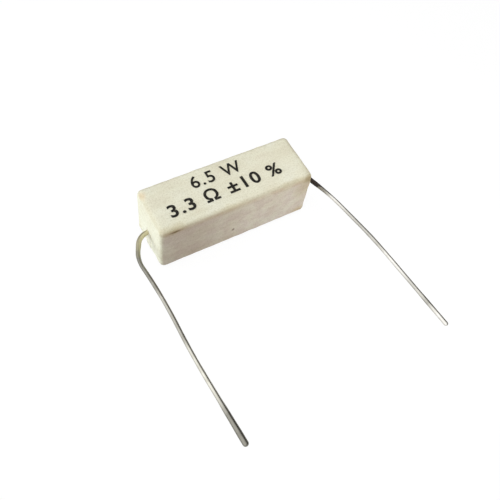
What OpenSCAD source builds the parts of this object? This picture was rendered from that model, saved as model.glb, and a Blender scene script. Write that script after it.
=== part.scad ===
// Cement-filled wirewound power resistor in a ceramic case, with two bent axial leads.
// X runs along the case, the leads turn towards -Y, and Z is up.
// The origin is the centre of the face that the case rests on. Millimetres throughout.

/* [Case] */
// Length of the case between its end faces
case_l = 25; // [22:0.5:35]
// Width of the case across the printed face
case_w = 8.6; // [8.2:0.1:11]
// Height of the case
case_h = 9.3; // [8.6:0.1:11]
// Radius of the outer edges
edge_r = 0.8; // [0.4:0.05:1]
// Thickness of the two long walls
side_wall = 1.1; // [0.8:0.05:1.2]
// Thickness of the two end walls
end_wall = 1.6; // [1.1:0.05:2]
// Thickness of the printed wall, which closes the top
roof = 1.2; // [1:0.05:1.3]
// Radius of the cavity's inner edges
cavity_r = 0.5; // [0.3:0.05:0.8]
// Width of the slot in each end wall that a lead lies in
slot_w = 1.5; // [1.2:0.1:2]

/* [Wound element] */
// Least thickness of cement between the wire on the caps and the case's inside or open face
pour_gap = 0.52; // [0.4:0.02:0.8]
// Length of the ceramic core
core_l = 17; // [15:0.5:18]
// Bevel on the core's ends
core_bevel = 0.25; // [0.1:0.05:0.4]
// Sheet thickness of the pressed end caps
cap_wall = 0.25; // [0.2:0.05:0.3]
// Depth that a cap covers of the core
cap_reach = 2.6; // [2:0.1:3.5]
// Diameter of the resistance wire
wire_d = 0.34; // [0.24:0.02:0.38]
// Distance between neighbouring turns of the resistance wire
wire_pitch = 0.66; // [0.6:0.02:1]
// Length of the wire's run on each cap, where its end is welded down
wire_on_cap = 0.9; // [0.6:0.1:1.4]

/* [Leads] */
// Height of the leads above the middle of the cavity
lead_lift = 0.15; // [0:0.05:0.3]
// Diameter of the bare wire
lead_d = 0.6; // [0.5:0.02:0.8]
// Diameter of the wire near the case, where tin and cement dust thicken it
root_d = 0.76; // [0.7:0.02:1]
// Diameter of the left lead's solder-dipped tip
left_tip_d = 0.84; // [0.82:0.02:1]
// Diameter of the right lead's solder-dipped tip
right_tip_d = 0.7; // [0.7:0.02:1]
// Straight length of each dipped tip, without its round end
tip_l = 2.6; // [2:0.1:4]
// Length over which a dipped tip tapers down to the wire
dip_l = 4; // [3:0.1:5]
// Height and breadth of the cement's hollow fillet around the right lead
fillet = 0.45; // [0.3:0.05:0.6]

/* [Lead bends] */
// Length of the left lead's first bend, close to the case
left_elbow_l = 2.5; // [2:0.1:4]
// Angle of the left lead's first bend, in degrees
left_elbow_turn = 62; // [55:1:75]
// Length over which the left lead thins from its root to the bare wire
left_thinning_l = 1; // [0.6:0.1:3]
// Length of the left lead's second bend
left_knee_l = 3.1; // [2:0.1:4]
// Angle of the left lead's second bend
left_knee_turn = 34; // [25:1:40]
// Length of the left lead's long bow after the bends
left_bow_l = 10.3; // [6:0.1:14]
// Angle of the left lead's long bow: a negative angle bends it back
left_bow_turn = -7; // [-12:1:-2]
// Length of the left lead's last slight bend
left_return_l = 8; // [4:0.5:12]
// Angle of the left lead's last slight bend
left_return_turn = 4; // [1:1:8]
// Straight length of the left lead before its dipped tip
left_run_l = 2.9; // [1:0.1:8]
// Length of the right lead's first bend, close to the case
right_elbow_l = 1.2; // [1.1:0.1:3]
// Angle of the right lead's first bend
right_elbow_turn = 71; // [60:1:80]
// Straight length of the right lead after the bend, still as thick as its root
right_root_l = 2.6; // [1:0.1:4]
// Length of the right lead's long bow, over which it thins to the bare wire
right_bow_l = 5.4; // [3:0.1:9]
// Angle of the right lead's long bow
right_bow_turn = 9; // [3:1:12]
// Length of the right lead's straight middle
right_middle_l = 4; // [2:0.5:8]
// Length of the right lead's last slight bend
right_sweep_l = 6; // [3:0.5:9]
// Angle of the right lead's last slight bend
right_sweep_turn = 5; // [2:1:10]
// Straight length of the right lead before its dipped tip
right_run_l = 6.7; // [1:0.1:9]

/* [Hidden] */
$fn = 48;

// Radius of the cap's rounded rim around its closed end
cap_round = 0.35;
// Distance from the middle to a cap's open rim and to its outer face
rim_x = core_l / 2 - cap_reach;
cap_x = core_l / 2 + cap_wall;

cavity_l = case_l - 2 * end_wall;
cavity_w = case_w - 2 * side_wall;
cavity_h = case_h - roof;
lead_h = cavity_h / 2 + lead_lift;

// The gap between the resistance wire and what it is wound on, and the same around it
wire_gap = 0.02;
turn_steps = 16;
wire_sides = 6;
wire_r = wire_d / 2;
// The turns are flat between their steps, so their corners stand out by this factor
turn_swell = 1 / cos(180 / turn_steps);
// The core is as thick as the cavity lets it be, with the caps, the wire and the cement around it
cap_turns_r = min(cavity_w / 2, cavity_h - lead_h, lead_h) - pour_gap;
cap_r = cap_turns_r / turn_swell - wire_d - 2 * wire_gap;
core_r = cap_r - cap_wall;
wound_end = rim_x + wire_on_cap;
turns = 2 * wound_end / wire_pitch;
// Where the wire starts to rise from the core, and where it is high enough for the cap's rim
rise_x = rim_x - 3 * wire_d;
risen_x = rim_x - wire_d;
// Outer radius of the cement's hollow around the turns on the core
core_turns_r = (core_r + wire_d + 2 * wire_gap) * turn_swell;

// Weld foot that joins a lead to its cap: it flares down from the wire by foot_rise
foot_d = 1.3;
foot_l = 0.35;
foot_rise = 0.02;
foot_top_r = root_d / 2 + foot_rise;

// The swept wire starts half-way up the weld foot and ends inside the dipped tip,
// whose first edge stands out by dip_step
wire_start = cap_x + foot_l / 2;
dip_step = 0.01;
dip_lap = 0.4;
lead_sides = 16;
degrees_per_step = 8;

// Each lead's route from wire_start on, as [length, turn in degrees, diameter at the end]:
// a positive turn takes the wire towards -Y, and a negative one turns it back
left_route = [
    [case_l / 2 - wire_start, 0, root_d],
    [left_elbow_l, left_elbow_turn, root_d],
    [left_thinning_l, 0, lead_d],
    [left_knee_l, left_knee_turn, lead_d],
    [left_bow_l, left_bow_turn, lead_d],
    [left_return_l, left_return_turn, lead_d],
    [left_run_l, 0, lead_d]];
right_route = [
    [case_l / 2 + fillet - wire_start, 0, root_d],
    [right_elbow_l, right_elbow_turn, root_d],
    [right_root_l, 0, root_d],
    [right_bow_l, right_bow_turn, lead_d],
    [right_middle_l, 0, lead_d],
    [right_sweep_l, right_sweep_turn, lead_d],
    [right_run_l, 0, lead_d]];

// Where a stretch of wire takes a point that heads at an angle from +X towards -Y.
// A place is [x, y, heading].
function along(place, length, turn) =
    let (h = place[2], radius = turn == 0 ? 0 : length / (turn * PI / 180))
    turn == 0
        ? [place.x + length * cos(h), place.y - length * sin(h), h]
        : [place.x + radius * (sin(h + turn) - sin(h)), place.y + radius * (cos(h + turn) - cos(h)), h + turn];

// The sections of a route from stretch i on, as [x, y, heading, diameter], without the first
function sections(route, place, d, i = 0) =
    i == len(route) ? [] :
    let (length = route[i][0], turn = route[i][1], end_d = route[i][2],
        steps = max(1, ceil(abs(turn) / degrees_per_step)),
        here = [for (k = [1:steps]) concat(along(place, length * k / steps, turn * k / steps),
            d + (end_d - d) * k / steps)])
    concat(here, sections(route, along(place, length, turn), end_d, i + 1));

// Corner number k of the round wire at a section
function wire_corner(section, k) =
    let (a = 360 * k / lead_sides, r = section[3] / 2, h = section[2])
    [section.x + r * cos(a) * sin(h), section.y + r * cos(a) * cos(h), lead_h + r * sin(a)];

// A rectangle with round corners, standing on the X axis
module rounded_rectangle(l, h, r) {
    translate([-l / 2, r]) square([l, h - 2 * r]);
    translate([-l / 2 + r, 0]) square([l - 2 * r, h]);
    for (x = [-1, 1], y = [r, h - r]) translate([x * (l / 2 - r), y]) circle(r);
}

// A block with round edges, centred on X and Y, from z = 0 up
module rounded_block(l, w, h, r) {
    intersection() {
        translate([0, w / 2, 0]) rotate([90, 0, 0]) linear_extrude(w) rounded_rectangle(l, h, r);
        translate([-l / 2, 0, 0]) rotate([90, 0, 90]) linear_extrude(l) rounded_rectangle(w, h, r);
        translate([0, -w / 2, 0]) linear_extrude(h) rounded_rectangle(l, w, r);
    }
}

// Turns an outline about the wound element's axis. The outline's X is the distance from the
// axis, and its Y runs from the middle towards side 1 (the right end) or -1 (the left end).
module turned(side) {
    translate([0, 0, lead_h]) rotate([0, side * 90, 0]) rotate_extrude() children();
}

// The space inside the case, open at the resting face, which the cement fills
module cavity(open_below) {
    intersection() {
        translate([0, 0, -cavity_r]) rounded_block(cavity_l, cavity_w, cavity_h + cavity_r, cavity_r);
        translate([-case_l, -case_w, -open_below]) cube([2 * case_l, 2 * case_w, 2 * case_h]);
    }
}

// The two slots in the end walls: upright sides and a round top at the leads' height.
// They run through the walls, and past the end faces by the length given.
module end_slots(past, below) {
    slot_l = end_wall + cavity_r + past;
    for (side = [0, 1]) mirror([side, 0, 0]) translate([cavity_l / 2 - cavity_r, 0, 0]) {
        translate([0, -slot_w / 2, -below]) cube([slot_l, slot_w, lead_h + below]);
        translate([0, 0, lead_h]) rotate([0, 90, 0]) cylinder(h = slot_l, d = slot_w);
    }
}

module ceramic_case() {
    color([0.89, 0.87, 0.8]) difference() {
        rounded_block(case_l, case_w, case_h, edge_r);
        cavity(cavity_r);
        end_slots(1, 1);
    }
}

// The hollow fillet of cement that climbs the right lead outside the end face
module lead_fillet() {
    root_r = root_d / 2;
    steps = 6;
    curve = [for (k = [0:steps]) let (a = 90 * k / steps)
        [root_r + fillet * (1 - sin(a)), fillet * (1 - cos(a))]];
    turned(1) translate([0, case_l / 2]) polygon(concat([[0, 0]], curve, [[0, fillet]]));
}

// Half of the hollow's outline in the cement, from the middle out: the turns on the core,
// the turns on the cap, the cap itself, the weld foot and the lead
module hollow_outline() {
    polygon([[0, 0], [core_turns_r, 0], [core_turns_r, rise_x - wire_d], [cap_turns_r, risen_x - wire_d],
        [cap_turns_r, wound_end + wire_d], [cap_r, wound_end + wire_d], [cap_r, cap_x - cap_round],
        [cap_r - cap_round, cap_x - cap_round], [cap_r - cap_round, cap_x], [foot_d / 2, cap_x],
        [foot_top_r, cap_x + foot_l], [root_d / 2, cap_x + foot_l], [root_d / 2, case_l], [0, case_l]]);
    translate([cap_r - cap_round, cap_x - cap_round]) circle(cap_round);
}

module cement_fill() {
    color([0.78, 0.76, 0.7]) difference() {
        union() {
            cavity(0);
            intersection() {
                rounded_block(case_l, case_w, case_h, edge_r);
                end_slots(0, 0);
            }
            lead_fillet();
        }
        for (side = [-1, 1]) turned(side) hollow_outline();
    }
}

// Half of the core's outline, from the given distance out to its bevelled end
module core_outline(from) {
    polygon([[0, from], [core_r, from], [core_r, core_l / 2 - core_bevel],
        [core_r - core_bevel, core_l / 2], [0, core_l / 2]]);
}

module core_rod() {
    color([0.93, 0.92, 0.88]) for (side = [-1, 1]) turned(side) core_outline(0);
}

// A pressed steel cup with a rounded edge, driven over the end of the core
module cap(side) {
    color([0.66, 0.66, 0.65]) turned(side) difference() {
        union() {
            translate([0, rim_x]) square([cap_r, cap_x - cap_round - rim_x]);
            translate([0, rim_x]) square([cap_r - cap_round, cap_x - rim_x]);
            translate([cap_r - cap_round, cap_x - cap_round]) circle(cap_round);
        }
        core_outline(0);
    }
}

module left_cap() {
    cap(-1);
}

module right_cap() {
    cap(1);
}

// Radius of the wire's centre line: low on the core, and up on the caps beyond their rims
function winding_r(x) =
    let (low = core_r + wire_r + wire_gap,
        high = cap_r + wire_r + wire_gap,
        part = min(1, max(0, (abs(x) - rise_x) / (risen_x - rise_x))))
    (low + (high - low) * part) * turn_swell;

// Corner number k of the wire's section at step i of the winding
function winding_point(i, k) =
    let (a = 360 * i / turn_steps,
        x = -wound_end + wire_pitch * i / turn_steps,
        radial = [0, sin(a), cos(a)],
        along = [0, cos(a), -sin(a)],
        lean = wire_pitch / (2 * PI * winding_r(x)),
        across = ([1, 0, 0] - lean * along) / norm([1, lean]),
        b = 360 * k / wire_sides)
    [x, 0, lead_h] + radial * (winding_r(x) + wire_r * cos(b)) + across * wire_r * sin(b);

// One length of resistance wire, wound as a true helix with both ends up on the caps
module resistance_wire() {
    rings = floor(turns * turn_steps);
    points = [for (i = [0:rings], k = [0:wire_sides - 1]) winding_point(i, k)];
    sides = [for (i = [0:rings - 1], k = [0:wire_sides - 1])
        let (j = (k + 1) % wire_sides, a = i * wire_sides, b = a + wire_sides)
        each [[a + k, a + j, b + j], [a + k, b + j, b + k]]];
    first = [for (k = [0:wire_sides - 1]) wire_sides - 1 - k];
    last = [for (k = [0:wire_sides - 1]) rings * wire_sides + k];
    color([0.55, 0.53, 0.5]) polyhedron(points, concat(sides, [first, last]));
}

// The solder-dipped end of a lead, from its first edge along +X: a taper, a straight length
// and a round end
module dipped_tip(d) {
    rotate([0, 90, 0]) rotate_extrude() {
        polygon([[0, 0], [lead_d / 2 + dip_step, 0], [d / 2, dip_l], [d / 2, dip_l + tip_l], [0, dip_l + tip_l]]);
        translate([0, dip_l + tip_l]) intersection() {
            circle(d = d);
            square(d);
        }
    }
}

// A tinned copper wire, welded to its cap and bent outside the case
module lead(route, tip_d) {
    start = [wire_start, 0, 0, root_d];
    stations = concat([start], sections(route, start, root_d));
    tip_place = stations[len(stations) - 1];
    rings = concat(stations, [concat(along(tip_place, dip_lap, 0), lead_d)]);
    points = [for (ring = rings, k = [0:lead_sides - 1]) wire_corner(ring, k)];
    sides = [for (i = [0:len(rings) - 2], k = [0:lead_sides - 1])
        let (j = (k + 1) % lead_sides, a = i * lead_sides, b = a + lead_sides)
        each [[a + k, b + j, a + j], [a + k, b + k, b + j]]];
    first = [for (k = [0:lead_sides - 1]) k];
    last = [for (k = [0:lead_sides - 1]) len(rings) * lead_sides - 1 - k];
    color([0.72, 0.71, 0.68]) {
        turned(1) polygon([[0, cap_x], [foot_d / 2, cap_x], [foot_top_r, cap_x + foot_l], [0, cap_x + foot_l]]);
        polyhedron(points, concat(sides, [first, last]));
        translate([tip_place.x, tip_place.y, lead_h]) rotate([0, 0, -tip_place[2]]) dipped_tip(tip_d);
    }
}

module left_lead() {
    mirror([1, 0, 0]) lead(left_route, left_tip_d);
}

module right_lead() {
    lead(right_route, right_tip_d);
}

ceramic_case();
cement_fill();
core_rod();
resistance_wire();
left_cap();
right_cap();
left_lead();
right_lead();
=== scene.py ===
# %% [markdown]
# # A ceramic-cased wirewound power resistor
#
# The object is a small block of pressed ceramic, 25 mm long, with one tinned copper wire
# leaving the middle of each end. This lesson dresses its solid model: it models the case,
# the cement, the two wires and the printed marking as pieces with the small faults of real
# ones, gives every piece a finish of shader nodes, and lights it on a pale table.
# The first cell loads the solid model as a fixed frame. Everything is in metres.

# %% Load the solid model
import math

import bpy
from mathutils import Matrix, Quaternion, Vector


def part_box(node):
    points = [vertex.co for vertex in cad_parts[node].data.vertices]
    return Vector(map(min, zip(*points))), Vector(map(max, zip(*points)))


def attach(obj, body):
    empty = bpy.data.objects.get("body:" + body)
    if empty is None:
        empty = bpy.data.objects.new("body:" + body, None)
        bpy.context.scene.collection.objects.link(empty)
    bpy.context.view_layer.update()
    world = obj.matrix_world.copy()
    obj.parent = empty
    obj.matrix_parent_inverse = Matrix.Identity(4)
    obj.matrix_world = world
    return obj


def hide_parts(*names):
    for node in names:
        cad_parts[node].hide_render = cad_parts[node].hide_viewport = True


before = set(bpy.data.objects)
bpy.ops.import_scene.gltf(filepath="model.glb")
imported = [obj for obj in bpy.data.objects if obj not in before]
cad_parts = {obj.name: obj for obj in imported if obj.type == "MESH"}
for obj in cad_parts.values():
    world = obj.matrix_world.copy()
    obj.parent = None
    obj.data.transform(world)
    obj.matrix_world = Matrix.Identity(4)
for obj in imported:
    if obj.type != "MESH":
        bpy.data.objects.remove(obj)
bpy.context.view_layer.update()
MM = 0.001
print("nodes in the frame:", sorted(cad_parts))

# %% [markdown]
# ## The camera
#
# A photograph taken from close by shows strong perspective, so the camera needs the right
# place as well as the right angle. Both were found by fitting a block of this size to the
# edges of the case. The camera looks down from the front left, turned a little about its
# own axis. A 36 mm wide sensor and the lens below give the photograph's field of view.

# %% Place the camera
CAMERA_PLACE = Vector((-31.15, -45.91, 83.53)) * MM
CAMERA_AIM = Vector((-0.756, -9.219, 4.678)) * MM
CAMERA_ROLL = math.radians(12.24)
LENS_MM = 46.02

camera_data = bpy.data.cameras.new("photo_camera")
camera_data.sensor_width = 36
camera_data.lens = LENS_MM
camera_data.clip_start = 0.001
camera = bpy.data.objects.new("photo_camera", camera_data)
bpy.context.scene.collection.objects.link(camera)
look = (CAMERA_AIM - CAMERA_PLACE).to_track_quat("-Z", "Y")
camera.rotation_mode = "QUATERNION"
camera.rotation_quaternion = look @ Quaternion((0, 0, 1), CAMERA_ROLL)
camera.location = CAMERA_PLACE
bpy.context.scene.camera = camera
print("camera to object: %.0f mm" % ((CAMERA_AIM - CAMERA_PLACE).length / MM))

# %% [markdown]
# ## Small helpers
#
# Colours are written as they look on a screen, as sRGB hex values, but shaders work with
# linear light, so one function converts them. A second function adds a shader node with
# its settings and links in one call. On those two stand the patterns that the finishes are
# mixed from: ramps, clouds and spots. The last helpers are the everyday steps of modelling:
# choose one object, apply its place, and pick edges by where they are.

# %% Colour and node helpers
def linear(hex_colour):
    """The linear RGBA of an sRGB hex colour such as "E6E1D2"."""
    values = [int(hex_colour[i:i + 2], 16) / 255 for i in (0, 2, 4)]
    return [v / 12.92 if v <= 0.04045 else ((v + 0.055) / 1.055) ** 2.4 for v in values] + [1]


def add_node(tree, kind, inputs=None, **settings):
    """Add a node. An input's value is a number, a colour, or the socket that feeds it."""
    node = tree.nodes.new(kind)
    for name, value in settings.items():
        setattr(node, name, value)
    for name, value in (inputs or {}).items():
        socket = node.inputs[name]
        if isinstance(value, bpy.types.NodeSocket):
            tree.links.new(value, socket)
        else:
            socket.default_value = value
    return node


def new_material(name):
    """An empty node material and its node tree."""
    material = bpy.data.materials.new(name)
    material.use_nodes = True
    material.node_tree.nodes.clear()
    return material, material.node_tree


print("a mid grey on screen, 808080, is %.3f in linear light" % linear("808080")[0])


# %% Sums and colours
def ramp(tree, factor, stops):
    """A colour ramp over factor: stops are (position, hex colour)."""
    node = add_node(tree, "ShaderNodeValToRGB", {"Fac": factor})
    elements = node.color_ramp.elements
    while len(elements) < len(stops):
        elements.new(0.5)
    for element, (position, colour) in zip(elements, stops):
        element.position = position
        element.color = linear(colour)
    return node.outputs["Color"]


def mix(tree, share, below, above, blend="MIX"):
    """The colour above laid over the colour below, as far as the share says."""
    # The mix node has sockets for several kinds of value: 0 is the share, 6 and 7 the colours
    node = add_node(tree, "ShaderNodeMix", {0: share, 6: below, 7: above},
                    data_type="RGBA", blend_type=blend)
    return node.outputs[2]


def math_node(tree, operation, first, second):
    """A sum on two values, named as Blender names it."""
    return add_node(tree, "ShaderNodeMath", {0: first, 1: second}, operation=operation).outputs["Value"]


def product(tree, *values):
    """Several values multiplied together, such as the shares of two masks."""
    result = values[0]
    for value in values[1:]:
        result = math_node(tree, "MULTIPLY", result, value)
    return result


def vector_math(tree, operation, *vectors):
    """A sum on vectors. A length or a dot product is a value, the others are vectors."""
    node = add_node(tree, "ShaderNodeVectorMath", dict(enumerate(vectors)), operation=operation)
    return node.outputs["Value" if operation in ("LENGTH", "DOT_PRODUCT") else "Vector"]


# %% Patterns
def grade(tree, value, start, end, low=0.0, high=1.0):
    """A value that passes smoothly from low, at start and before, to high, at end and after."""
    limits = {"Value": value, "From Min": start, "From Max": end, "To Min": low, "To Max": high}
    node = add_node(tree, "ShaderNodeMapRange", limits, interpolation_type="SMOOTHSTEP")
    return node.outputs["Result"]


def clouds(tree, place, size_mm, detail=2, stretch=(1, 1, 1)):
    """A noise whose patches are about size_mm across, longer where the stretch is below 1."""
    if stretch != (1, 1, 1):
        place = add_node(tree, "ShaderNodeMapping", {"Vector": place, "Scale": stretch}).outputs["Vector"]
    scale = 1 / (size_mm * MM)
    noise = add_node(tree, "ShaderNodeTexNoise", {"Vector": place, "Scale": scale, "Detail": detail})
    return noise.outputs["Fac"]


def stretched(tree, noise, low, high):
    """A noise stretched over a range. Most of what a noise gives lies between 0.3 and 0.7."""
    return grade(tree, noise, 0.3, 0.7, low, high)


RAGGED_BY = 0.18


def spot(tree, place, centre_mm, radii_mm, ragged=None):
    """1 at a point of the object, falling to 0 at the radii along X, Y and Z."""
    away = vector_math(tree, "SUBTRACT", place, Vector(centre_mm) * MM)
    scaled = vector_math(tree, "MULTIPLY", away, [1 / (radius * MM) for radius in radii_mm])
    reach = vector_math(tree, "LENGTH", scaled)
    if ragged:
        reach = math_node(tree, "ADD", reach, stretched(tree, ragged, -RAGGED_BY, RAGGED_BY))
    return grade(tree, reach, 1, 0.1)


# %% The shader that every finish ends in
def finish_surface(tree, colour, roughness, bump_height, bump_mm, **fixed):
    """A Principled surface with a bump, joined to the material's output."""
    bump = add_node(tree, "ShaderNodeBump", {"Height": bump_height, "Distance": bump_mm * MM})
    inputs = {"Base Color": colour, "Roughness": roughness, "Normal": bump.outputs["Normal"]}
    for name, value in fixed.items():
        inputs[name.replace("_", " ")] = value
    shader = add_node(tree, "ShaderNodeBsdfPrincipled", inputs)
    add_node(tree, "ShaderNodeOutputMaterial", {"Surface": shader.outputs["BSDF"]})


# %% Steps of modelling
def choose(obj):
    """Make obj the only selected object, and the active one."""
    bpy.ops.object.select_all(action="DESELECT")
    obj.select_set(True)
    bpy.context.view_layer.objects.active = obj


def apply_place(obj):
    """Write the object's place, turn and scale into its mesh."""
    choose(obj)
    bpy.ops.object.transform_apply(location=True, rotation=True, scale=True)


def apply_modifier(obj, kind, **settings):
    """Add a modifier, set it and apply it."""
    choose(obj)
    modifier = obj.modifiers.new(kind.lower(), kind)
    for name, value in settings.items():
        setattr(modifier, name, value)
    bpy.ops.object.modifier_apply(modifier=modifier.name)


def select_edges(obj, test):
    """Enter edit mode with just the edges selected whose two ends pass the test."""
    choose(obj)
    bpy.ops.object.mode_set(mode="EDIT")
    bpy.ops.mesh.select_mode(type="EDGE")
    bpy.ops.mesh.select_all(action="DESELECT")
    bpy.ops.object.mode_set(mode="OBJECT")
    points = obj.data.vertices
    for edge in obj.data.edges:
        edge.select = test(points[edge.vertices[0]].co, points[edge.vertices[1]].co)
    bpy.ops.object.mode_set(mode="EDIT")


# %% Blocks and wear
def block(name, low, high):
    """A cube primitive stretched between two corners."""
    bpy.ops.object.select_all(action="DESELECT")
    bpy.ops.mesh.primitive_cube_add(size=1, location=(low + high) / 2)
    obj = bpy.context.object
    obj.name = name
    obj.scale = high - low
    apply_place(obj)
    return obj


def cut_into_grid(obj, spacing):
    """Subdivide a block's edges along X, Y and Z so that its faces become grids."""
    for axis in range(3):
        length = obj.dimensions[axis]
        cuts = max(1, round(length / spacing) - 1)
        select_edges(obj, lambda a, b: abs(a[axis] - b[axis]) > length / 2)
        bpy.ops.mesh.subdivide(number_cuts=cuts)
        bpy.ops.object.mode_set(mode="OBJECT")


def wear(obj, name, size_mm, depth_mm, middle=0.5, group="", detail=3):
    """Push the surface in and out by a soft cloud pattern, or only in where middle is 1."""
    texture = bpy.data.textures.new(name, "CLOUDS")
    texture.noise_scale = size_mm * MM
    texture.noise_depth = detail
    apply_modifier(obj, "DISPLACE", texture=texture, texture_coords="LOCAL",
                   strength=depth_mm * MM, mid_level=middle, vertex_group=group)


def weigh(obj, name, weight):
    """Add a vertex group in which each vertex has the weight that the function gives its place."""
    group = obj.vertex_groups.new(name=name)
    for vertex in obj.data.vertices:
        group.add([vertex.index], weight(vertex.co), "REPLACE")


def smooth(obj, degrees=40):
    """Shade the object smooth, apart from edges that bend by more than the angle."""
    choose(obj)
    bpy.ops.object.shade_smooth_by_angle(angle=math.radians(degrees))


# %% [markdown]
# ## The ceramic case
#
# The case is a trough of white steatite, pressed dry and fired, open on the face that it
# rests on. Its outer edges are rounded and never quite straight, because the powder settles
# unevenly and the kiln warps it by a few hundredths of a millimetre. A cube is stretched to
# the size of the solid case, bevelled, cut into a grid, hollowed with a Boolean, and then
# pushed in very slightly by two cloud patterns: one for the warp of the faces and a finer
# one that nibbles at the edges. The edges are found by a weight on each point.

# %% Measure the case from the frame
case_low, case_high = (Vector(corner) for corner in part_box("ceramic_case"))
EDGE_RADIUS = 0.8 * MM
SIDE_WALL = 1.1 * MM
END_WALL = 1.6 * MM
ROOF = 1.2 * MM
SLOT_WIDTH = 1.5 * MM
LEAD_HEIGHT = 4.2 * MM
PAST_THE_CASE = 1 * MM
ROUND_SIDES = 32
print("case: %.1f x %.1f x %.1f mm" % tuple((case_high - case_low) / MM))


# %% The space that the cement is poured into
def pour_space(name, reach, below, top_gap):
    """The cavity and the two end slots as one solid: slots as far as x = reach, open below."""
    low = Vector((case_low.x + END_WALL, case_low.y + SIDE_WALL, case_low.z - below))
    high = Vector((case_high.x - END_WALL, case_high.y - SIDE_WALL, case_high.z - ROOF - top_gap))
    cavity = block(name, low, high)
    slot = block("slot", Vector((-reach, -SLOT_WIDTH / 2, low.z)),
                 Vector((reach, SLOT_WIDTH / 2, LEAD_HEIGHT)))
    bpy.ops.mesh.primitive_cylinder_add(vertices=ROUND_SIDES, radius=SLOT_WIDTH / 2, depth=2 * reach,
                                        location=(0, 0, LEAD_HEIGHT), rotation=(0, math.pi / 2, 0))
    round_top = bpy.context.object
    apply_place(round_top)
    for tool in (slot, round_top):
        apply_modifier(cavity, "BOOLEAN", object=tool, operation="UNION", solver="EXACT")
        bpy.data.objects.remove(tool)
    return cavity


# %% The outside of the case
def rounded_block(name, spacing):
    """The outside of the case: a block with round edges, its faces cut into a grid."""
    obj = block(name, case_low, case_high)
    select_edges(obj, lambda a, b: True)
    bpy.ops.mesh.bevel(offset=EDGE_RADIUS, offset_type="OFFSET", segments=5, profile=0.5)
    bpy.ops.object.mode_set(mode="OBJECT")
    cut_into_grid(obj, spacing)
    return obj


# Full wear reaches this far from an edge and all wear ends here, in edge radii, apart from
# the little that flat faces get
FULLY_WORN = 0.6
WEAR_ENDS = 1.8
FLAT_WEAR = 0.15


def edge_weight(place):
    """1 on the case's rounded edges, which chip and wear, passing to little on its flat faces."""
    close = [min(place[k] - case_low[k], case_high[k] - place[k]) for k in range(3)]
    radii_away = sorted(close)[1] / EDGE_RADIUS
    worn = max(0, min(1, (WEAR_ENDS - radii_away) / (WEAR_ENDS - FULLY_WORN)))
    return FLAT_WEAR + (1 - FLAT_WEAR) * worn


# %% Model the case
CASE_GRID = 0.4 * MM

case = rounded_block("case_shell", CASE_GRID)
weigh(case, "edges", edge_weight)
hollow = pour_space("hollow", case_high.x + PAST_THE_CASE, PAST_THE_CASE, 0)
apply_modifier(case, "BOOLEAN", object=hollow, operation="DIFFERENCE", solver="EXACT")
bpy.data.objects.remove(hollow)
wear(case, "kiln_warp", size_mm=6, depth_mm=0.07, middle=1)
wear(case, "nibbled_edge", size_mm=1.2, depth_mm=0.12, middle=1, group="edges", detail=1)
smooth(case)
print("case shell:", len(case.data.polygons), "faces")

# %% [markdown]
# ## The cement
#
# Once the wound element lies in the trough, the trough is filled with a silica cement and
# struck off level. It dries with a slightly sunken, pitted surface and fills the slot in each
# end wall. At the right end some of it has climbed the wire. The same pour space that
# hollowed the case is made again as a solid and trimmed to the case's rounded outside. The
# fillet on the wire is a small profile spun about the wire's axis. A voxel remesh melts both
# into one skin, as wet cement would, and two cloud patterns sink and roughen the open face.

# %% Spin the fillet that climbs the right wire
FILLET = 0.45 * MM
ROOT_RADIUS = 0.38 * MM
FILLET_STEPS = 6


def spin_fillet(name):
    """A hollow-sided cone of cement around the wire, from inside the slot outwards."""
    profile = [(case_high.x - FILLET, 0), (case_high.x - FILLET, ROOT_RADIUS + FILLET)]
    for k in range(FILLET_STEPS + 1):
        angle = math.pi / 2 * k / FILLET_STEPS
        profile.append((case_high.x + FILLET * (1 - math.cos(angle)),
                        ROOT_RADIUS + FILLET * (1 - math.sin(angle))))
    profile.append((case_high.x + FILLET, 0))
    mesh = bpy.data.meshes.new(name)
    mesh.from_pydata([(x, r, LEAD_HEIGHT) for x, r in profile],
                     [(k, k + 1) for k in range(len(profile) - 1)], [])
    obj = bpy.data.objects.new(name, mesh)
    bpy.context.scene.collection.objects.link(obj)
    choose(obj)
    bpy.ops.object.mode_set(mode="EDIT")
    bpy.ops.mesh.select_all(action="SELECT")
    bpy.ops.mesh.spin(steps=ROUND_SIDES, angle=2 * math.pi, center=(0, 0, LEAD_HEIGHT), axis=(1, 0, 0))
    bpy.ops.mesh.select_all(action="SELECT")
    bpy.ops.mesh.remove_doubles(threshold=0.001 * MM)
    bpy.ops.mesh.normals_make_consistent(inside=False)
    bpy.ops.object.mode_set(mode="OBJECT")
    return obj


# %% Pour the cement
BELOW_THE_CASE = 0.01 * MM
UNDER_THE_ROOF = 0.02 * MM
MOULD_GRID = 4 * MM

cement = pour_space("cement_pour", case_high.x + PAST_THE_CASE, BELOW_THE_CASE, UNDER_THE_ROOF)
mould = rounded_block("mould", MOULD_GRID)
apply_modifier(cement, "BOOLEAN", object=mould, operation="INTERSECT", solver="EXACT")
bpy.data.objects.remove(mould)
climbed = spin_fillet("climbed_fillet")
bpy.ops.object.select_all(action="DESELECT")
climbed.select_set(True)
cement.select_set(True)
bpy.context.view_layer.objects.active = cement
bpy.ops.object.join()
print("poured cement: %.2f mm deep" % (cement.dimensions.z / MM))

# %% Melt it into one skin and roughen its open face
VOXEL = 0.13 * MM
OPEN_FACE_TOP = 0.5 * MM
DRAWN_IN = 0.04 * MM

apply_modifier(cement, "REMESH", mode="VOXEL", voxel_size=VOXEL)
apply_modifier(cement, "SMOOTH", factor=0.5, iterations=1)
weigh(cement, "open_face", lambda place: 1 if place.z < OPEN_FACE_TOP else 0)
weigh(cement, "walls", lambda place: 0 if place.z < OPEN_FACE_TOP else 1)
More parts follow.
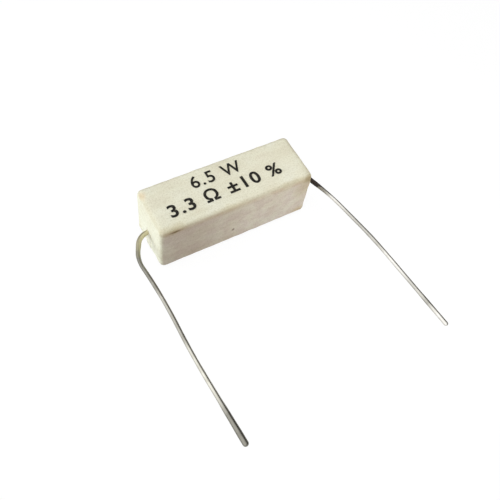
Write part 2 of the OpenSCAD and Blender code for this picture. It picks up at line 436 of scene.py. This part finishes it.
# Remeshing and smoothing draw the skin in a little, so its walls are pushed out again
apply_modifier(cement, "DISPLACE", strength=DRAWN_IN, mid_level=0, vertex_group="walls")
wear(cement, "sunken_cement", size_mm=2.5, depth_mm=0.12, middle=1, group="open_face")
wear(cement, "sand_in_cement", size_mm=0.4, depth_mm=0.06, middle=1, group="open_face")
smooth(cement, 80)
print("cement:", len(cement.data.polygons), "faces")

# %% [markdown]
# ## The leads
#
# Each lead is a drawn copper wire with a coat of tin. It is welded to the element's end
# cap, leaves the case in the middle of the end face and was bent by hand towards the front.
# The last few millimetres were dipped in solder, which left them thicker and round-ended.
# The route is worked out as a walk: go a length forward while turning by an angle. A poly
# curve takes those points, each with its own radius, and its round bevel is made a mesh.

# %% The two routes
# A walk is (length, turn in degrees), and a girth is (distance along the wire, radius), in mm
LEFT_WALK = ((2.5, 62), (1, 0), (3.1, 34), (10.3, -7), (8, 4), (9.5, 0))
LEFT_GIRTH = ((0, 0.38), (2.5, 0.38), (3.9, 0.33), (6, 0.3), (20, 0.3), (25, 0.32), (28, 0.33),
              (30.5, 0.38), (33, 0.42), (34.4, 0.42))
RIGHT_WALK = ((0.45, 0), (1.2, 71), (2.6, 0), (5.4, 9), (4, 0), (6, 5), (13.3, 0))
RIGHT_GIRTH = ((0, 0.38), (3.7, 0.38), (6.2, 0.3), (26, 0.3), (29.5, 0.33), (33, 0.35))
for side, walk in (("left", LEFT_WALK), ("right", RIGHT_WALK)):
    print(side, "lead: %.1f mm outside the case" % sum(length for length, turn in walk))

# %% Walk along a route
# Inside the case the wire widens to a foot that is welded to the element's cap, all in mm
CAP_FACE = 8.75
FOOT_TOP = 9.1
FOOT_END = 9.4
FOOT_RADIUS = 0.65
FOOT_FLARE = 0.02
END_FACE = round(case_high.x / MM, 2)
STEP = 0.2
TIP_ANGLES = (12, 25, 38, 50, 62, 74, 85)


def eased(knots, at):
    """The value at a distance, passing smoothly through the (distance, value) knots."""
    for (a, low), (b, high) in zip(knots, knots[1:]):
        if at <= b:
            part = max(0, (at - a) / (b - a))
            return low + (high - low) * part * part * (3 - 2 * part)
    return knots[-1][1]


def walk_lead(walk, girth):
    """Stations (x, y, radius, distance from the case) in mm, from the weld to the round tip."""
    root = girth[0][1]
    inside = ((CAP_FACE, FOOT_RADIUS), (FOOT_TOP, root + FOOT_FLARE), (FOOT_END, root), (END_FACE, root))
    stations = [(x, 0, radius, x - END_FACE) for x, radius in inside]
    x, y, heading, gone = END_FACE, 0, 0, 0
    for length, turn in walk:
        steps = max(2, round(length / STEP))
        for k in range(steps):
            middle = math.radians(heading + turn * (k + 0.5) / steps)
            x += length / steps * math.cos(middle)
            y -= length / steps * math.sin(middle)
            gone += length / steps
            stations.append((x, y, eased(girth, gone), gone))
        heading += turn
    tip = girth[-1][1]
    aim = math.radians(heading)
    for angle in map(math.radians, TIP_ANGLES):
        reach = tip * math.sin(angle)
        stations.append((x + reach * math.cos(aim), y - reach * math.sin(aim),
                         tip * math.cos(angle), gone + reach))
    return stations


# %% Sweep the wire along its route
WIRE_SIDES = 14


def keep_distances(obj, stations, side):
    """Give each point of the wire its distance from the case, as an attribute named along."""
    along = obj.data.attributes.new("along", "FLOAT", "POINT")
    places = [Vector((side * x * MM, y * MM)) for x, y, _, _ in stations]
    for vertex in obj.data.vertices:
        nearest = min(range(len(places)), key=lambda k: (places[k] - vertex.co.xy).length_squared)
        along.data[vertex.index].value = stations[nearest][3]


def sweep_lead(name, stations, side):
    """A round wire through the stations, mirrored to the side given, as a mesh."""
    bpy.ops.object.select_all(action="DESELECT")
    bpy.ops.curve.primitive_nurbs_path_add()
    obj = bpy.context.object
    obj.name = name
    curve = obj.data
    curve.splines.clear()
    spline = curve.splines.new("POLY")
    spline.points.add(len(stations) - 1)
    for point, (x, y, radius, _) in zip(spline.points, stations):
        point.co = (side * x * MM, y * MM, LEAD_HEIGHT, 1)
        point.radius = radius
    curve.dimensions = "3D"
    curve.bevel_depth = MM
    # A round bevel has four sides, and two more for each step of its resolution
    curve.bevel_resolution = (WIRE_SIDES - 4) // 2
    curve.use_fill_caps = True
    choose(obj)
    bpy.ops.object.convert(target="MESH")
    apply_place(obj)
    bpy.ops.object.mode_set(mode="EDIT")
    bpy.ops.mesh.select_all(action="SELECT")
    bpy.ops.mesh.normals_make_consistent(inside=False)
    bpy.ops.object.mode_set(mode="OBJECT")
    keep_distances(obj, stations, side)
    return obj


# %% Model the two leads
left_lead = sweep_lead("left_tinned_lead", walk_lead(LEFT_WALK, LEFT_GIRTH), -1)
right_lead = sweep_lead("right_tinned_lead", walk_lead(RIGHT_WALK, RIGHT_GIRTH), 1)
for lead in (left_lead, right_lead):
    wear(lead, lead.name + "_tin", size_mm=2.4, depth_mm=0.03, detail=0)
    smooth(lead, 60)
    print(lead.name, len(lead.data.polygons), "faces, %.1f mm long in Y" % (lead.dimensions.y / MM))

# %% [markdown]
# ## The printed marking
#
# Such a part carries its value, stamped on the top with black ink from a rubber or silicone
# pad. Here the marking is a generic one, a rating above a value with its tolerance. Text
# objects are set in the built-in sans face, thickened a little as ink spreads, made meshes,
# stretched to the stamped size and laid about a hundredth of a millimetre over the case.

# %% Stamp the marking
INK_LIFT = 0.012 * MM
INK_THICKNESS = 0.008 * MM
TYPE_SIZE = 3 * MM
LETTER_SPACING = 1.15
CURVE_STEPS = 6


def stamp(name, words, left, right, baseline, height, tilt_degrees, spread_mm):
    """Words laid on the top face between x = left and x = right, all in mm."""
    bpy.ops.object.select_all(action="DESELECT")
    bpy.ops.object.text_add()
    obj = bpy.context.object
    obj.name = name
    obj.data.body = words
    obj.data.size = TYPE_SIZE
    obj.data.offset = spread_mm * MM
    obj.data.space_character = LETTER_SPACING
    obj.data.resolution_u = CURVE_STEPS
    obj.data.extrude = INK_THICKNESS / 2
    choose(obj)
    bpy.ops.object.convert(target="MESH")
    corners = [Vector(corner) for corner in obj.bound_box]
    low = [min(corner[k] for corner in corners) for k in (0, 1)]
    high = [max(corner[k] for corner in corners) for k in (0, 1)]
    print(name, "as set: %.2f x %.2f mm" % ((high[0] - low[0]) / MM, (high[1] - low[1]) / MM))
    obj.scale = ((right - left) * MM / (high[0] - low[0]), height * MM / (high[1] - low[1]), 1)
    obj.location = (left * MM - low[0] * obj.scale.x, baseline * MM - low[1] * obj.scale.y,
                    case_high.z + INK_LIFT)
    obj.rotation_euler.z = math.radians(tilt_degrees)
    apply_place(obj)
    return obj


marking = [
    stamp("marking_rating", "6.5 W", left=-4.9, right=3.2, baseline=0.85, height=2.1,
          tilt_degrees=0.5, spread_mm=0.035),
    stamp("marking_value", "3.3 Ω ±10 %", left=-9.8, right=8.4, baseline=-2.35, height=2.25,
          tilt_degrees=1.5, spread_mm=0.065),
]

# %% [markdown]
# ## Finishes
#
# Fired steatite is a hard, dense, dead-matt ceramic: an off-white that is never one colour,
# with fine grit, faint drag marks and the odd stain from handling. The grit of a pressed
# body is about a fifth of a millimetre, the drag marks are under a millimetre wide, several
# long and run along the case, and the warmer clouds are five millimetres across. Shade is
# also painted into the case's colour: on the front face, just under its top edge, on the
# rounded edges and in spots along the top-front edge. Stains and those spots belong to
# places on the object, so each is a soft ellipsoid around a point of it.

# %% Stains and painted shade
# Centre and radii in mm, and the colour that the spot multiplies the ceramic by
STAINS_AND_SHADE = (
    ((-12.0, 2.9, 9.2), (1.1, 1.0, 0.8), "FBEEE2"),
    # The next five, along the top-front edge and at its right corner, are painted shade
    ((-10.6, -4.3, 8.95), (3.4, 1.5, 0.9), "ECE5D6"),
    ((-10.2, -4.25, 8.7), (1.6, 0.5, 0.22), "AAA28C"),
    ((-2.0, -4.3, 8.8), (5.0, 1.2, 1.0), "F8F4ED"),
    ((9.0, -4.3, 8.8), (4.5, 1.3, 1.1), "F4F0E8"),
    ((12.0, -4.2, 8.7), (1.6, 1.4, 1.6), "DAD3C6"),
    # The rest are stains, and one dark pit
    ((11.4, -4.3, 7.0), (3.4, 1.0, 2.6), "EDE9DC"),
    ((11.2, -4.3, 1.0), (2.2, 0.8, 1.4), "F6EEDA"),
    ((-0.7, -4.3, 3.1), (0.36, 0.6, 0.45), "A08C84"),
    ((-5.8, 4.2, 9.1), (0.7, 0.3, 0.3), "F0CCBC"),
    ((4.3, 4.2, 9.1), (0.9, 0.3, 0.3), "F2D4C4"),
)
print(len(STAINS_AND_SHADE), "stains")


# %% Painted shade and the marks that handling has left on the case
def handling_marks_and_shade(tree, place, colour):
    """Painted shade on the front face, under its top edge and on the rounded edges, with stains and one
    dark pit, each at its own place on the case.
    """
    parts = add_node(tree, "ShaderNodeSeparateXYZ", {"Vector": place}).outputs
    patches = clouds(tree, place, size_mm=1.6, detail=4)
    # Painted shade on the front face: a faint pinkish, darker tone in soft patches
    front = grade(tree, parts["Y"], case_low.y + 0.4 * MM, case_low.y + 0.05 * MM)
    front_shade = product(tree, front, grade(tree, patches, 0.36, 0.64, 0.5, 1.0))
    colour = mix(tree, front_shade, colour, linear("F1E6EB"), "MULTIPLY")
    # Painted shade in a band just under the front's top edge
    above_its_foot = grade(tree, parts["Z"], case_high.z - 1.3 * MM, case_high.z - 0.6 * MM)
    below_its_top = grade(tree, parts["Z"], case_high.z - 0.05 * MM, case_high.z - 0.4 * MM)
    under_edge_shade = product(tree, above_its_foot, below_its_top, front, grade(tree, patches, 0.3, 0.65))
    colour = mix(tree, under_edge_shade, colour, linear("F9F5EB"), "MULTIPLY")
    # Painted shade on the rounded edges all round. The sum of the normal's fourth powers is 1 on a
    # flat face and a half at the middle of an edge.
    normal = add_node(tree, "ShaderNodeNewGeometry").outputs["Normal"]
    squares = vector_math(tree, "MULTIPLY", normal, normal)
    flat = vector_math(tree, "DOT_PRODUCT", squares, squares)
    colour = mix(tree, grade(tree, flat, 1.0, 0.5), colour, linear("F0EEEA"), "MULTIPLY")
    # Stains, and the spots of painted shade along the top-front edge
    for centre, radii, tone in STAINS_AND_SHADE:
        ragged = patches if radii[0] > 1 else None
        stain_and_shade = spot(tree, place, centre, radii, ragged)
        colour = mix(tree, stain_and_shade, colour, linear(tone), "MULTIPLY")
    # Painted shade makes the left half of the front a little greyer than the right
    left_front_shade = product(tree, front, grade(tree, parts["X"], 4 * MM, -9 * MM))
    return mix(tree, left_front_shade, colour, linear("E7E3E1"), "MULTIPLY")


# %% Fired steatite for the case
def steatite(name, stained_and_shaded):
    """Matt off-white ceramic, with or without the marks of handling and the painted shade."""
    material, tree = new_material(name)
    place = add_node(tree, "ShaderNodeTexCoord").outputs["Object"]
    kiln = clouds(tree, place, size_mm=5, detail=3)
    drag = clouds(tree, place, size_mm=0.8, detail=4, stretch=(0.15, 1, 1))
    grit = clouds(tree, place, size_mm=0.22, detail=2)
    colour = ramp(tree, kiln, [(0.35, "E4DEC8"), (0.5, "E8E4CE"), (0.65, "EAE7D4")])
    drag_tone = ramp(tree, drag, [(0.35, "F3F0EA"), (0.6, "FFFFFF")])
    grit_tone = ramp(tree, grit, [(0.3, "DEDACF"), (0.55, "FFFFFF")])
    colour = mix(tree, 0.5, colour, drag_tone, "MULTIPLY")
    colour = mix(tree, 0.5, colour, grit_tone, "MULTIPLY")
    if stained_and_shaded:
        colour = handling_marks_and_shade(tree, place, colour)
    height = math_node(tree, "ADD", grit, product(tree, drag, 0.5))
    finish_surface(tree, colour, 0.8, height, bump_mm=0.02, Specular_IOR_Level=0.3)
    return material


# %% Cement, ink and the hidden metal
def cement_finish():
    """Sandy, dead-matt cement."""
    material, tree = new_material("silica_cement")
    place = add_node(tree, "ShaderNodeTexCoord").outputs["Object"]
    sand = clouds(tree, place, size_mm=0.3, detail=5)
    colour = ramp(tree, sand, [(0.3, "C9C2AE"), (0.5, "DFDAC6"), (0.7, "E6E2D0")])
    finish_surface(tree, colour, 0.92, sand, bump_mm=0.03, Specular_IOR_Level=0.25)
    return material


def stamping_ink():
    """Black ink that covers a little unevenly."""
    material, tree = new_material("stamped_black_ink")
    place = add_node(tree, "ShaderNodeTexCoord").outputs["Object"]
    cover = clouds(tree, place, size_mm=0.3, detail=3)
    colour = ramp(tree, cover, [(0.3, "161513"), (0.58, "23211D"), (0.72, "5A554A")])
    finish_surface(tree, colour, 0.6, cover, bump_mm=0.005, Specular_IOR_Level=0.3)
    return material


def plain_metal(name, dark, light, roughness):
    """A metal that wanders between two tones, for pieces that the case hides."""
    material, tree = new_material(name)
    place = add_node(tree, "ShaderNodeTexCoord").outputs["Object"]
    grain = clouds(tree, place, size_mm=0.5, detail=4)
    colour = ramp(tree, grain, [(0.35, dark), (0.65, light)])
    finish_surface(tree, colour, roughness, grain, bump_mm=0.005, Metallic=1.0)
    return material


# %% [markdown]
# Tin starts bright and turns grey. A lead is never one tone from end to end: near the case
# it is stained by the cement and by the heat of welding, and further on its tones follow the
# lighter and darker stretches along the wire, partly tarnish and partly painted reflection.
# The distance along the wire was kept as an attribute of the mesh, so one ramp can give the
# tone at every distance. It is a metal, so the tone is its reflection colour. A finer noise
# breaks the ramp up, as tarnish does.

# %% Tinned copper, with its tone along the wire
# In mm: the ramp's span, a little more than either lead's length, how far the tarnish
# shifts it, and how softly a scorch ends
RAMP_SPAN = 35
WANDER = 0.5
SCORCH_EDGE = 0.2


def tinned_copper(name, tones, scorch=None):
    """Tin with a tone at each distance. A scorch is its colour and how far out it ends, in mm."""
    material, tree = new_material(name)
    place = add_node(tree, "ShaderNodeTexCoord").outputs["Object"]
    along = add_node(tree, "ShaderNodeAttribute", attribute_name="along").outputs["Fac"]
    tarnish = clouds(tree, place, size_mm=1.4, detail=1)
    wandering = math_node(tree, "ADD", along, stretched(tree, tarnish, -WANDER, WANDER))
    share = math_node(tree, "DIVIDE", wandering, RAMP_SPAN)
    colour = ramp(tree, share, [(at / RAMP_SPAN, tone) for at, tone in tones])
    tarnish_tone = ramp(tree, tarnish, [(0.3, "D2D0CA"), (0.65, "FFFFFF")])
    colour = mix(tree, 0.4, colour, tarnish_tone, "MULTIPLY")
    rough = stretched(tree, tarnish, 0.42, 0.32)
    metallic = 1.0
    specular = 0.5
    if scorch:
        # A scorched stretch is oxide rather than bare metal: dark, dull and not metallic.
        # On the side of the wire that faces back and right it reaches further, and that reach is painted
        # shade.
        scorch_tone, scorch_end = scorch
        normal = add_node(tree, "ShaderNodeNewGeometry").outputs["Normal"]
        facing = vector_math(tree, "DOT_PRODUCT", normal, (0.5, 0.5, 0))
        reach = math_node(tree, "SUBTRACT", wandering, facing)
        scorch_and_shade = grade(tree, reach, scorch_end + SCORCH_EDGE, scorch_end - SCORCH_EDGE)
        colour = mix(tree, scorch_and_shade, colour, linear(scorch_tone))
        rough = grade(tree, scorch_and_shade, 0, 1, 0.36, 0.7)
        metallic = math_node(tree, "SUBTRACT", 1, scorch_and_shade)
        specular = grade(tree, scorch_and_shade, 0, 1, 0.5, 0.1)
    finish_surface(tree, colour, rough, tarnish, bump_mm=0.002,
                   Metallic=metallic, Specular_IOR_Level=specular)
    return material


# %% The tones of the two leads
# Each tone is (distance from the case in mm, colour); the lighter and darker stretches are partly painted
# reflection
LEFT_TONES = ((0, "E0D9BA"), (2.2, "D4CEB2"), (3.6, "BCB8A0"), (5, "94928A"), (9, "A6A49C"),
              (12, "CCCAC2"), (18, "C0BEB6"), (22, "E2E0D6"), (26, "EAE8DE"), (29, "C8C6BE"),
              (30.5, "98968E"), (34, "9C9A92"))
RIGHT_TONES = ((0, "6E665C"), (5, "9C9890"), (6.5, "D8D6D0"), (8.5, "F8F6F2"), (11.5, "D4D2CC"),
               (14.5, "C6C4BE"), (17.5, "D6D4CE"), (20.5, "FAF8F4"), (23.5, "F2F0EC"),
               (25.5, "D2D0CA"), (27.5, "DEDCD6"), (29, "BCBAB4"), (30.5, "ECEAE4"), (32, "F6F4F0"))
print("tones along the leads: %d and %d" % (len(LEFT_TONES), len(RIGHT_TONES)))

# %% [markdown]
# ## Dress the pieces
#
# Each visual piece rides on the one body of the part and stands in for a node of the solid
# model, which is hidden. The marking stands in for nothing, because the solid case has no
# print. What the case hides keeps the solid model's shape and gets a finish.

# %% Give every piece its finish and its body
STEATITE = steatite("fired_steatite", stained_and_shaded=True)
CEMENT = cement_finish()
INK = stamping_ink()
LEFT_TIN = tinned_copper("tinned_copper_left", LEFT_TONES)
RIGHT_TIN = tinned_copper("tinned_copper_right", RIGHT_TONES, scorch=("3E3733", 4.9))
PIECES = (
    (case, "ceramic_case", "case_ceramic", STEATITE),
    (cement, "cement_fill", "cement", CEMENT),
    (left_lead, "left_lead", "tinned_copper", LEFT_TIN),
    (right_lead, "right_lead", "tinned_copper", RIGHT_TIN),
)
for piece, node, slot, material in PIECES:
    piece.data.materials.clear()
    piece.data.materials.append(material)
    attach(piece, "root")
    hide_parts(node)
for piece in marking:
    piece.data.materials.clear()
    piece.data.materials.append(INK)
    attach(piece, "root")
print("pieces modelled here:", len(PIECES) + len(marking))

# %% Give the hidden nodes a finish
CAP_STEEL = plain_metal("pressed_steel_cap", "A2A19C", "C4C3BD", roughness=0.3)
HIDDEN = {
    "core_rod": steatite("core_steatite", stained_and_shaded=False),
    "resistance_wire": plain_metal("nickel_chrome_wire", "7A756C", "9C978D", roughness=0.35),
    "left_cap": CAP_STEEL,
    "right_cap": CAP_STEEL,
}
for node, material in HIDDEN.items():
    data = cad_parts[node].data
    data.materials.clear()
    data.materials.append(material)
print("hidden nodes:", sorted(HIDDEN))

# %% [markdown]
# ## The table
#
# The photograph is a cut-out on white, so the table shows as white to the camera, with just
# a trace of the object's shadow. A plain white board would be grey in this soft light. So the
# shader mixes in a white glow that the camera alone sees, and that covers most of the shadow
# too. Mirror rays see a sheen that is a little dimmer, which keeps the undersides of the
# wires from going white.

# %% Table
TABLE_SIZE = 1.2
TABLE_TOP = -0.01 * MM
TABLE_GLOW = 1.06
TABLE_SEEN = 0.88
TABLE_REFLECTED = 0.76


def either(tree, share, first, second):
    """The first shader, or the second as far as the share says."""
    node = add_node(tree, "ShaderNodeMixShader", {0: share, 1: first, 2: second})
    return node.outputs["Shader"]


bpy.ops.object.select_all(action="DESELECT")
bpy.ops.mesh.primitive_grid_add(x_subdivisions=8, y_subdivisions=8, size=TABLE_SIZE,
                                location=(0, 0, TABLE_TOP))
table = bpy.context.object
table.name = "table"
table_material, tree = new_material("white_table")
rays = add_node(tree, "ShaderNodeLightPath").outputs
board = add_node(tree, "ShaderNodeBsdfDiffuse", {"Color": linear("D8D8D8")}).outputs["BSDF"]
glow = add_node(tree, "ShaderNodeEmission", {"Color": (1, 1, 1, 1), "Strength": TABLE_GLOW})
sheen = add_node(tree, "ShaderNodeEmission", {"Color": (1, 1, 0.97, 1), "Strength": TABLE_REFLECTED})
seen = product(tree, rays["Is Camera Ray"], TABLE_SEEN)
shown = either(tree, seen, board, glow.outputs["Emission"])
surface = either(tree, rays["Is Glossy Ray"], shown, sheen.outputs["Emission"])
add_node(tree, "ShaderNodeOutputMaterial", {"Surface": surface})
table.data.materials.append(table_material)
print("table: %.1f m wide, its top at %.2f mm" % (TABLE_SIZE, TABLE_TOP / MM))

# %% [markdown]
# ## The lamps
#
# Three lamps light the ceramic: a large soft one at the left, which makes the left end the
# brightest face, a weaker one overhead for the top, and a small near one at the front right,
# from which the front face fades to the left. None of them shows in the wires, because a
# lamp's image in a thin bright wire is a broken white line.

# %% Lamps
LIT_POINT = Vector((0, 0, 4)) * MM


def soft_light(name, place_mm, size_mm, watts, colour="FFFFFF"):
    """A square lamp aimed at the object, which metal and glazes don't mirror."""
    lamp = bpy.data.lights.new(name, "AREA")
    lamp.size = size_mm * MM
    lamp.energy = watts
    lamp.color = linear(colour)[:3]
    obj = bpy.data.objects.new(name, lamp)
    obj.location = Vector(place_mm) * MM
    obj.rotation_euler = (LIT_POINT - obj.location).to_track_quat("-Z", "Y").to_euler()
    obj.visible_glossy = False
    bpy.context.scene.collection.objects.link(obj)
    print("%s: %.0f mm wide, %.0f mm away" % (name, size_mm, (LIT_POINT - obj.location).length / MM))


soft_light("window", (-150, 30, 25), size_mm=300, watts=0.62, colour="F0F8FF")
soft_light("ceiling", (38, -5, 110), size_mm=80, watts=0.051)
soft_light("fill", (34, -36, 15), size_mm=25, watts=0.0073)

# %% [markdown]
# ## The room
#
# The room around the table gives the rest of the light. How far a ray points to the room's
# bright side is a dot product with one direction, and a colour ramp turns it into a tone.
# Mirror rays see a room of their own: bright overhead and to the left, dark low down at the
# back right. That draws the dark line along the far side of each wire. To the camera the
# room is plain white, like the photograph's ground.

# %% Room
ROOM_LIGHT = 0.6
ROOM_MIRRORED = 1.4
BRIGHT_SIDE = (-0.8, 0, 1)
MIRRORED_SIDE = (-0.8, -0.2, 0.8)

world = bpy.data.worlds.new("room")
bpy.context.scene.world = world
world.use_nodes = True
tree = world.node_tree
tree.nodes.clear()
direction = add_node(tree, "ShaderNodeTexCoord").outputs["Generated"]
level = vector_math(tree, "DOT_PRODUCT", direction, BRIGHT_SIDE)
lit_room = ramp(tree, level, [(0.0, "3A3836"), (0.35, "8A8986"), (0.8, "E8E8E6")])
mirrored_level = vector_math(tree, "DOT_PRODUCT", direction, MIRRORED_SIDE)
mirrored_room = ramp(tree, mirrored_level, [(0.0, "3E3C3A"), (0.36, "8C8B88"), (0.75, "F4F4F2")])
rays = add_node(tree, "ShaderNodeLightPath").outputs
room = mix(tree, rays["Is Glossy Ray"], lit_room, mirrored_room)
strength = grade(tree, rays["Is Glossy Ray"], 0, 1, ROOM_LIGHT, ROOM_MIRRORED)
ambient = add_node(tree, "ShaderNodeBackground", {"Color": room, "Strength": strength})
white = add_node(tree, "ShaderNodeBackground", {"Color": (1, 1, 1, 1), "Strength": 1.0})
sky = either(tree, rays["Is Camera Ray"], ambient.outputs["Background"], white.outputs["Background"])
add_node(tree, "ShaderNodeOutputWorld", {"Surface": sky})
bpy.context.scene.view_settings.view_transform = "Standard"
print("room: strength %.1f, seen in metal at %.1f" % (ROOM_LIGHT, ROOM_MIRRORED))
